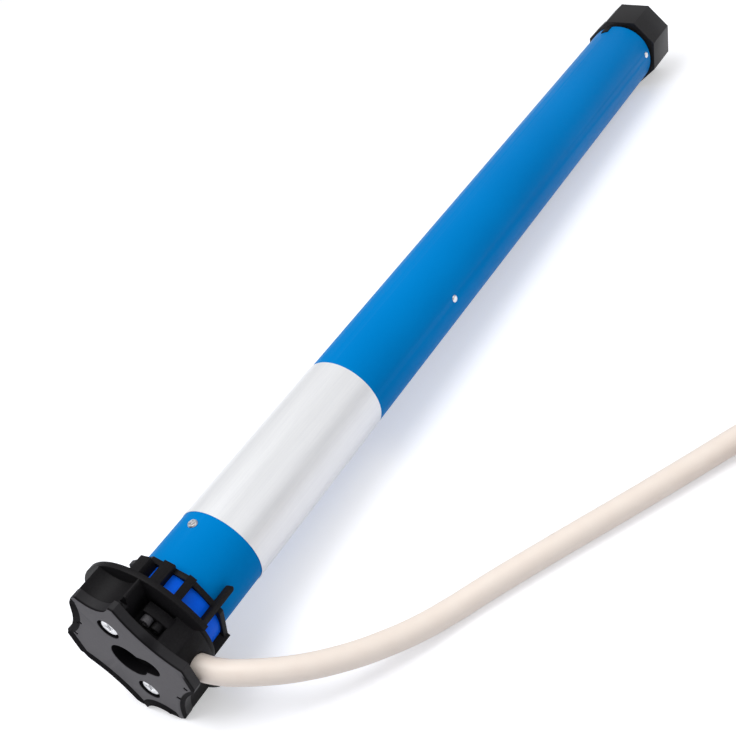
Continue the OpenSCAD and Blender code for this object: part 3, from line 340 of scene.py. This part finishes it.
# Tinned copper: bright grey metal with crimp marks, which read as an uneven gloss.
tin_material = grained("tinned_copper", ("b9babd", "d4d5d8"), roughness=(0.22, 0.42),
                       grain=1.2 * mm, bump=0.3, metallic=1.0)
finish_node("cable_tie", tie_material)
finish_node("core_ferrules", tin_material)

# Moulded head
# Black glass-filled nylon, injection moulded in one piece: star walls with an open pocket
# on each side, the round flange at the back and the spigot that is screwed into the tube.
weld_gap = 0.001 * mm
flat_angle = math.radians(0.3)


def rounded_copy(node, body, material, edge, segments=2, sharp_from=28.0, smooth_to=30.0,
                 reshape=None):
    """A copy of a CAD piece with its sharp edges rounded over, as a mould or a tool leaves them."""
    source = nodes[node]
    mesh = bmesh.new()
    mesh.from_mesh(source.data)
    mesh.transform(source.matrix_world)
    bmesh.ops.remove_doubles(mesh, verts=mesh.verts, dist=weld_gap)
    bmesh.ops.dissolve_limit(mesh, angle_limit=flat_angle, verts=mesh.verts, edges=mesh.edges)
    if reshape:
        for vertex in mesh.verts:
            vertex.co = reshape(vertex.co)
    sharp = [e for e in mesh.edges if e.is_manifold and e.calc_face_angle() > math.radians(sharp_from)]
    bmesh.ops.bevel(mesh, geom=sharp, offset=edge, offset_type="OFFSET", segments=segments, profile=0.5,
                    affect="EDGES", clamp_overlap=True, material=-1)
    bmesh.ops.recalc_face_normals(mesh, faces=mesh.faces)
    data = bpy.data.meshes.new(node + "_finished")
    mesh.to_mesh(data)
    mesh.free()
    data.shade_smooth()
    data.set_sharp_from_angle(angle=math.radians(smooth_to))
    data.materials.append(material)
    piece = bpy.data.objects.new(node + "_finished", data)
    scene.collection.objects.link(piece)
    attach(piece, body)
    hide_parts(node)


# Glass-filled nylon: charcoal rather than black, with a dull sheen. The eroded mould leaves a grain,
# drawn at 0.7 mm, about three times its real size, because the real one would not show.
moulding_material = grained("glass_filled_nylon", ("121113", "1b1a1c"), roughness=(0.42, 0.58),
                            grain=0.7 * mm, bump=0.22, specular=0.1)
rounded_copy("head_housing", "housing", moulding_material, edge=0.25 * mm)

# Star plate
# A second moulding of the same nylon, screwed to the head. Its flat face is painted grey as a painted
# reflection of the bright room, its rim is drawn near black and dull as painted shade, and its side
# walls keep the dark moulded skin.
face_grain_len = 1.5 * mm
rim_depth = 0.6 * mm
rim_rise = 0.8 * mm
rim_top_slope = 0.2
arm_half = 9.8 * mm
arm_root_half = 1.3 * arm_half
arm_end_half = 5 * mm

# Painted reflection: a grey, matt and cloudy over 1.5 mm, for all that lies in the plane of the face,
# standing for the bright room that the nylon mirrors.
face_material, face_shader, face_place = new_material("nylon_plate_painted_light", {})
face_split = add_node(face_material, "ShaderNodeSeparateXYZ", links={"Vector": face_place})
face_station = face_split.outputs["X"]
face_ahead = add_node(face_material, "ShaderNodeMapRange",
                      {"From Min": -0.03 * mm, "From Max": -0.01 * mm}, {"Value": face_station})
face_behind = add_node(face_material, "ShaderNodeMapRange",
                       {"From Min": 0.25 * mm, "From Max": 0.15 * mm}, {"Value": face_station})
face_share = add_node(face_material, "ShaderNodeMath", {"operation": "MULTIPLY"},
                      {0: face_ahead.outputs["Result"], 1: face_behind.outputs["Result"]})
face_grain = add_node(face_material, "ShaderNodeTexNoise",
                      {"Scale": 1 / face_grain_len, "Detail": 5.0, "Roughness": 0.65},
                      {"Vector": face_place})
face_painted_reflection = add_node(face_material, "ShaderNodeValToRGB", links={"Fac": face_grain.outputs["Fac"]},
                     stops=((0.25, "474549"), (0.8, "58565a")))
# Moulded skin: nearly black and dull on the rim, where this darkness is painted shade, a little paler
# and glossier on the side walls, which lie behind the rim and more than 22 mm from the middle.
wall_back = add_node(face_material, "ShaderNodeMapRange",
                     {"From Min": 0.6 * mm, "From Max": 1 * mm}, {"Value": face_station})
wall_radius = add_node(face_material, "ShaderNodeVectorMath", {"operation": "LENGTH"},
                       {"Vector": face_place})
wall_out = add_node(face_material, "ShaderNodeMapRange",
                    {"From Min": 21.5 * mm, "From Max": 22.5 * mm},
                    {"Value": wall_radius.outputs["Value"]})
wall_share = add_node(face_material, "ShaderNodeMath", {"operation": "MULTIPLY"},
                      {0: wall_back.outputs["Result"], 1: wall_out.outputs["Result"]})
rim_shade_wall_mix = add_node(face_material, "ShaderNodeMix",
                    {"data_type": "RGBA", mix_first: linear("151416"), mix_second: linear("1e1d20")},
                    {"Factor": wall_share.outputs["Value"]})
face_mix = add_node(face_material, "ShaderNodeMix", {"data_type": "RGBA"},
                    {"Factor": face_share.outputs["Value"], mix_first: rim_shade_wall_mix.outputs[mix_result],
                     mix_second: face_painted_reflection.outputs["Color"]})
link(face_material, face_mix.outputs[mix_result], face_shader, "Base Color")
shine_share = add_node(face_material, "ShaderNodeMath", {"operation": "MAXIMUM"},
                       {0: face_share.outputs["Value"], 1: wall_share.outputs["Value"]})
face_shine = add_node(face_material, "ShaderNodeMapRange", {"To Min": 0.02, "To Max": 0.3},
                      {"Value": shine_share.outputs["Value"]})
link(face_material, face_shine.outputs["Result"], face_shader, "Specular IOR Level")
face_gloss = add_node(face_material, "ShaderNodeMapRange", {"To Min": 0.5, "To Max": 0.7},
                      {"Value": face_grain.outputs["Fac"]})
link(face_material, face_gloss.outputs["Result"], face_shader, "Roughness")
face_relief = add_node(face_material, "ShaderNodeBump", {"Strength": 0.15, "Distance": 0.2 * mm},
                       {"Height": face_grain.outputs["Fac"]})
link(face_material, face_relief.outputs["Normal"], face_shader, "Normal")


def lift_rim(place):
    """A point of the rim, which slopes back all round in the CAD piece. In this copy it stands up
    on the far side, runs out nearly flat at the pocket and slopes back below."""
    if not weld_gap < place.x < rim_depth + weld_gap:
        return place
    if place.z > 0:
        far_side = share_of(place.y, arm_half, arm_root_half)
    else:
        far_side = share_of(place.y, -arm_half, -arm_half / 2)
    slope = rim_top_slope + (1 - rim_top_slope) * share_of(-place.z, -arm_end_half, arm_end_half)
    depth_share = slope * (1 - far_side) - rim_rise / rim_depth * far_side
    return Vector((place.x * depth_share, place.y, place.z))


rounded_copy("head_plate", "housing", face_material, edge=0.25 * mm, segments=3,
             smooth_to=4.0, reshape=lift_rim)

# Plate screws
# Two zinc plated steel screws with a cross recess, sunk in counterbores. They hold
# the star plate on the head, and their heads are the brightest spots of the face.

# Bright zinc: a cool white metal with a light haze and fine rolling marks.
zinc_material = grained("bright_zinc", ("cfd0d3", "ececee"), roughness=(0.24, 0.4),
                        grain=0.9 * mm, bump=0.12, metallic=1.0)
rounded_copy("plate_screws", "housing", zinc_material, edge=0.15 * mm)

# Limit adjusters
# Two small nylon dials with a hexagon socket, turned with a key through the pocket to set
# the ends of travel. The photo shows them dark, one a little greyer than the other.

# Grey nylon: a mid grey with a soft sheen and a fine grain from the mould.
dial_material = grained("grey_nylon_dial", ("4a494c", "5a585c"), roughness=(0.4, 0.55),
                        grain=0.5 * mm, bump=0.1)
rounded_copy("limit_adjuster_up", "adjuster_up", moulding_material, edge=0.2 * mm)
rounded_copy("limit_adjuster_down", "adjuster_down", dial_material, edge=0.2 * mm)

# Cable seal
# A rubber plug round the cores where the cable enters the head. It is pressed into
# the inner end of the exit and can't be seen once the cable is in place.

# Moulded rubber: matt black with a slight bloom.
rubber_material = grained("moulded_rubber", ("171718", "222223"), roughness=(0.7, 0.85),
                          grain=0.8 * mm, bump=0.2)
finish_node("cable_seal", rubber_material)

# Bearing sleeve
# A blue acetal ring pushed on the spigot. The crown turns on it, and it shows
# through the openings of the crown's cage.

# Acetal: a deep even blue with a waxy sheen.
sleeve_material = grained("blue_acetal", ("0064fa", "006cff"), roughness=(0.36, 0.48),
                          grain=2 * mm, bump=0.06, specular=0.08)
rounded_copy("bearing_sleeve", "housing", sleeve_material, edge=0.2 * mm)

# Idler crown
# Black nylon moulding that runs on the sleeve: a toothed front flange that drives the limit
# spindle, an open cage, the octagonal ring that carries the blind shaft, fingers and wings.
rounded_copy("crown_ring", "crown", moulding_material, edge=0.2 * mm)

# Motor tube
# Drawn steel tube, 35 mm across with a 1 mm wall, painted blue. The ends are cut square,
# and the holes for screws and rivets and the notch for the cover's lug are punched.
paint_peel_len = 2.5 * mm
paint_tone_len = 60 * mm

# Stoved paint: saturated blue, satin, with a faint orange peel of about 2.5 mm and slow
# changes of tone along the tube.
paint_material, paint_shader, paint_place = new_material(
    "blue_stoved_paint", {"Specular IOR Level": 0.03, "Specular Tint": linear("2f8fe0")})
paint_peel = add_node(paint_material, "ShaderNodeTexNoise",
                      {"Scale": 1 / paint_peel_len, "Detail": 2.0}, {"Vector": paint_place})
paint_tone = add_node(paint_material, "ShaderNodeTexNoise",
                      {"Scale": 1 / paint_tone_len, "Detail": 1.0}, {"Vector": paint_place})
paint_tint = add_node(paint_material, "ShaderNodeValToRGB", links={"Fac": paint_tone.outputs["Fac"]},
                      stops=((0.3, "007cc6"), (0.7, "0082ce")))
link(paint_material, paint_tint.outputs["Color"], paint_shader, "Base Color")
paint_gloss = add_node(paint_material, "ShaderNodeMapRange", {"To Min": 0.34, "To Max": 0.44},
                       {"Value": paint_peel.outputs["Fac"]})
link(paint_material, paint_gloss.outputs["Result"], paint_shader, "Roughness")
paint_relief = add_node(paint_material, "ShaderNodeBump", {"Strength": 0.05, "Distance": 0.3 * mm},
                        {"Height": paint_peel.outputs["Fac"]})
link(paint_material, paint_relief.outputs["Normal"], paint_shader, "Normal")
rounded_copy("motor_tube", "housing", paint_material, edge=0.2 * mm, sharp_from=40)

# Label film
# Self-adhesive polyester film with a silver back, cut to a plain rectangle and
# wrapped rather more than half way round the tube.
film_line_len = 50 / 3 * mm
film_line_width = 2 / 3 * mm

# Silver film: pale, partly metallic, with fine lines along the tube, so it mirrors the room softly.
film_material, film_shader, film_place = new_material(
    "silver_polyester_film", {"Metallic": 0.35, "Specular IOR Level": 0.4})
film_stretch = add_node(film_material, "ShaderNodeMapping",
                        {"Scale": (1 / film_line_len, 1 / film_line_width, 1 / film_line_width)},
                        {"Vector": film_place})
film_lines = add_node(film_material, "ShaderNodeTexNoise", {"Scale": 1.0, "Detail": 3.0},
                      {"Vector": film_stretch.outputs["Vector"]})
film_tint = add_node(film_material, "ShaderNodeValToRGB", links={"Fac": film_lines.outputs["Fac"]},
                     stops=((0.3, "eeeff2"), (0.7, "f3f4f6")))
link(film_material, film_tint.outputs["Color"], film_shader, "Base Color")
film_gloss = add_node(film_material, "ShaderNodeMapRange", {"To Min": 0.34, "To Max": 0.44},
                      {"Value": film_lines.outputs["Fac"]})
link(film_material, film_gloss.outputs["Result"], film_shader, "Roughness")
finish_node("label_film", film_material)

# Screws and rivets of the tube
# Zinc plated screws with a low head and a cross recess hold the head in the tube. Blind rivets
# hold the stator and the end cover, and from outside each is only a small bright dot.
rounded_copy("tube_screws", "housing", zinc_material, edge=0.1 * mm)
rounded_copy("stator_rivets", "housing", zinc_material, edge=0.15 * mm)
rounded_copy("cover_rivets", "housing", zinc_material, edge=0.15 * mm)

# Limit unit
# A black moulded frame with a steel spindle that the crown turns through a pinion, two nylon
# nuts that run along it, and the microswitches that they press at the ends of travel.

# Turned steel: grey metal with fine tool marks.
steel_material = grained("turned_steel", ("8d9093", "a6a9ad"), roughness=(0.28, 0.45),
                         grain=0.7 * mm, bump=0.12, metallic=1.0)
# Phenolic switch case: very dark blue, dull.
switch_material = grained("switch_case", ("18233a", "22304d"), roughness=(0.5, 0.65),
                          grain=0.6 * mm, bump=0.1)
# Natural and yellow nylon nuts: pale and slightly waxy.
ivory_material = grained("natural_nylon", ("e0ded6", "ecebe4"), roughness=(0.4, 0.55),
                         grain=0.8 * mm, bump=0.08)
yellow_material = grained("yellow_nylon", ("d8b932", "e6c945"), roughness=(0.4, 0.55),
                          grain=0.8 * mm, bump=0.08)
finish_node("limit_frame", moulding_material)
finish_node("limit_switches", switch_material)
finish_node("limit_spindle", steel_material)
finish_node("limit_nut_up", ivory_material)
finish_node("limit_nut_down", yellow_material)

# Run capacitor
# A rolled aluminium can with a crimped neck and two tabs, held between the limit unit
# and the motor.

# Bare aluminium: light metal with soft cloudy reflections.
aluminium_material = grained("bare_aluminium", ("bcc0c4", "d2d5d9"), roughness=(0.35, 0.5),
                             grain=2 * mm, bump=0.1, metallic=1.0)
finish_node("run_capacitor", aluminium_material)

# Motor
# A capacitor motor: die-cast shields with sintered bearings, a stack of stator sheets with
# varnished copper in its slots, and a squirrel cage rotor on a steel shaft.
sheet_thickness = 0.5 * mm
wire_thickness = 0.4 * mm

# Sintered bronze: warm brown metal, porous and oily, so its gloss is uneven.
bronze_material = grained("sintered_bronze", ("8f6d3c", "b08c55"), roughness=(0.35, 0.6),
                          grain=0.5 * mm, bump=0.3, metallic=1.0)
# Stacked sheets: the 0.5 mm laminations read as stripes across the axis. A wave turns by 20 radians
# for each unit of its scale, here one for each sheet, so a stripe is six sheets wide and shows.
wave_radians = 20
stack_material, stack_shader, stack_place = new_material(
    "stacked_sheets", {"Metallic": 0.9, "Roughness": 0.5})
stack_bands = add_node(stack_material, "ShaderNodeTexWave",
                       {"Scale": 1 / sheet_thickness / wave_radians, "Distortion": 0.2},
                       {"Vector": stack_place})
stack_tint = add_node(stack_material, "ShaderNodeValToRGB", links={"Fac": stack_bands.outputs["Fac"]},
                      stops=((0.0, "5a5c60"), (1.0, "8e9196")))
link(stack_material, stack_tint.outputs["Color"], stack_shader, "Base Color")
# Varnished copper wire: orange brown strands of 0.4 mm, drawn six times as wide in the same way,
# under a clear glossy varnish.
copper_material, copper_shader, copper_place = new_material(
    "varnished_copper", {"Metallic": 0.9, "Roughness": 0.3, "Coat Weight": 0.5})
copper_strands = add_node(copper_material, "ShaderNodeTexWave",
                          {"Scale": 1 / wire_thickness / wave_radians, "Distortion": 3.0},
                          {"Vector": copper_place})
copper_tint = add_node(copper_material, "ShaderNodeValToRGB",
                       links={"Fac": copper_strands.outputs["Fac"]},
                       stops=((0.0, "7a3a14"), (1.0, "c87a3c")))
link(copper_material, copper_tint.outputs["Color"], copper_shader, "Base Color")
for shield in ("front_shield", "rear_shield"):
    finish_node(shield, aluminium_material)
for bearing in ("front_bearing", "rear_bearing"):
    finish_node(bearing, bronze_material)
finish_node("stator_core", stack_material)
finish_node("stator_windings", copper_material)
finish_node("rotor_core", stack_material)
finish_node("rotor_shaft", steel_material)

# Brake
# A friction pad on the rear shield, a steel disc on the rotor shaft and a sprung armature
# that presses them together whenever the current is off.

# Pressed lining: brown, dead matt and coarse.
lining_material = grained("pressed_lining", ("4a3c30", "64523f"), roughness=(0.85, 0.95),
                          grain=0.9 * mm, bump=0.5)
finish_node("brake_pad", lining_material)
finish_node("brake_cover", aluminium_material)
for brake_piece in ("brake_disc", "brake_armature", "brake_pins", "brake_spring"):
    finish_node(brake_piece, steel_material)

# Gearbox
# Three planetary stages in one long moulded ring gear. Each carrier is turned steel with three
# pins, and the planets are sintered steel.

# Natural acetal: creamy white, waxy, smooth from the mould.
acetal_material = grained("natural_acetal", ("d3d0c6", "e2dfd6"), roughness=(0.35, 0.5),
                          grain=1.5 * mm, bump=0.05)
finish_node("ring_gear", acetal_material)
for stage in "123":
    finish_node("carrier_" + stage, steel_material)
    for planet in "abc":
        finish_node("planet_" + stage + planet, steel_material)

# End cover, bush and output shaft
# A black nylon plug closes the tube and is keyed by a lug in the tube's notch. It holds
# a sintered bush, in which the turned steel output shaft runs.
rounded_copy("gearbox_cover", "housing", moulding_material, edge=0.2 * mm)
finish_node("output_bush", bronze_material)
finish_node("output_shaft", steel_material)

# Drive wheel
# Octagonal nylon wheel that turns the blind shaft: a shell with spokes round a square hub, a groove
# along one flat for the seam of the shaft, and one corner cut back over the far end.

# Unfilled nylon: a little lighter and glossier than the head, so its facets read apart.
wheel_material = grained("black_nylon_wheel", ("1b1a1c", "262527"), roughness=(0.4, 0.55),
                         grain=0.7 * mm, bump=0.18)
rounded_copy("drive_wheel", "output", wheel_material, edge=0.3 * mm)

# Wheel screw and washer
# A zinc plated screw with a cross recess and a plain washer in the wheel's dish hold
# the wheel on the square of the output shaft.
rounded_copy("wheel_washer", "output", zinc_material, edge=0.15 * mm)
rounded_copy("wheel_screw", "output", zinc_material, edge=0.15 * mm)
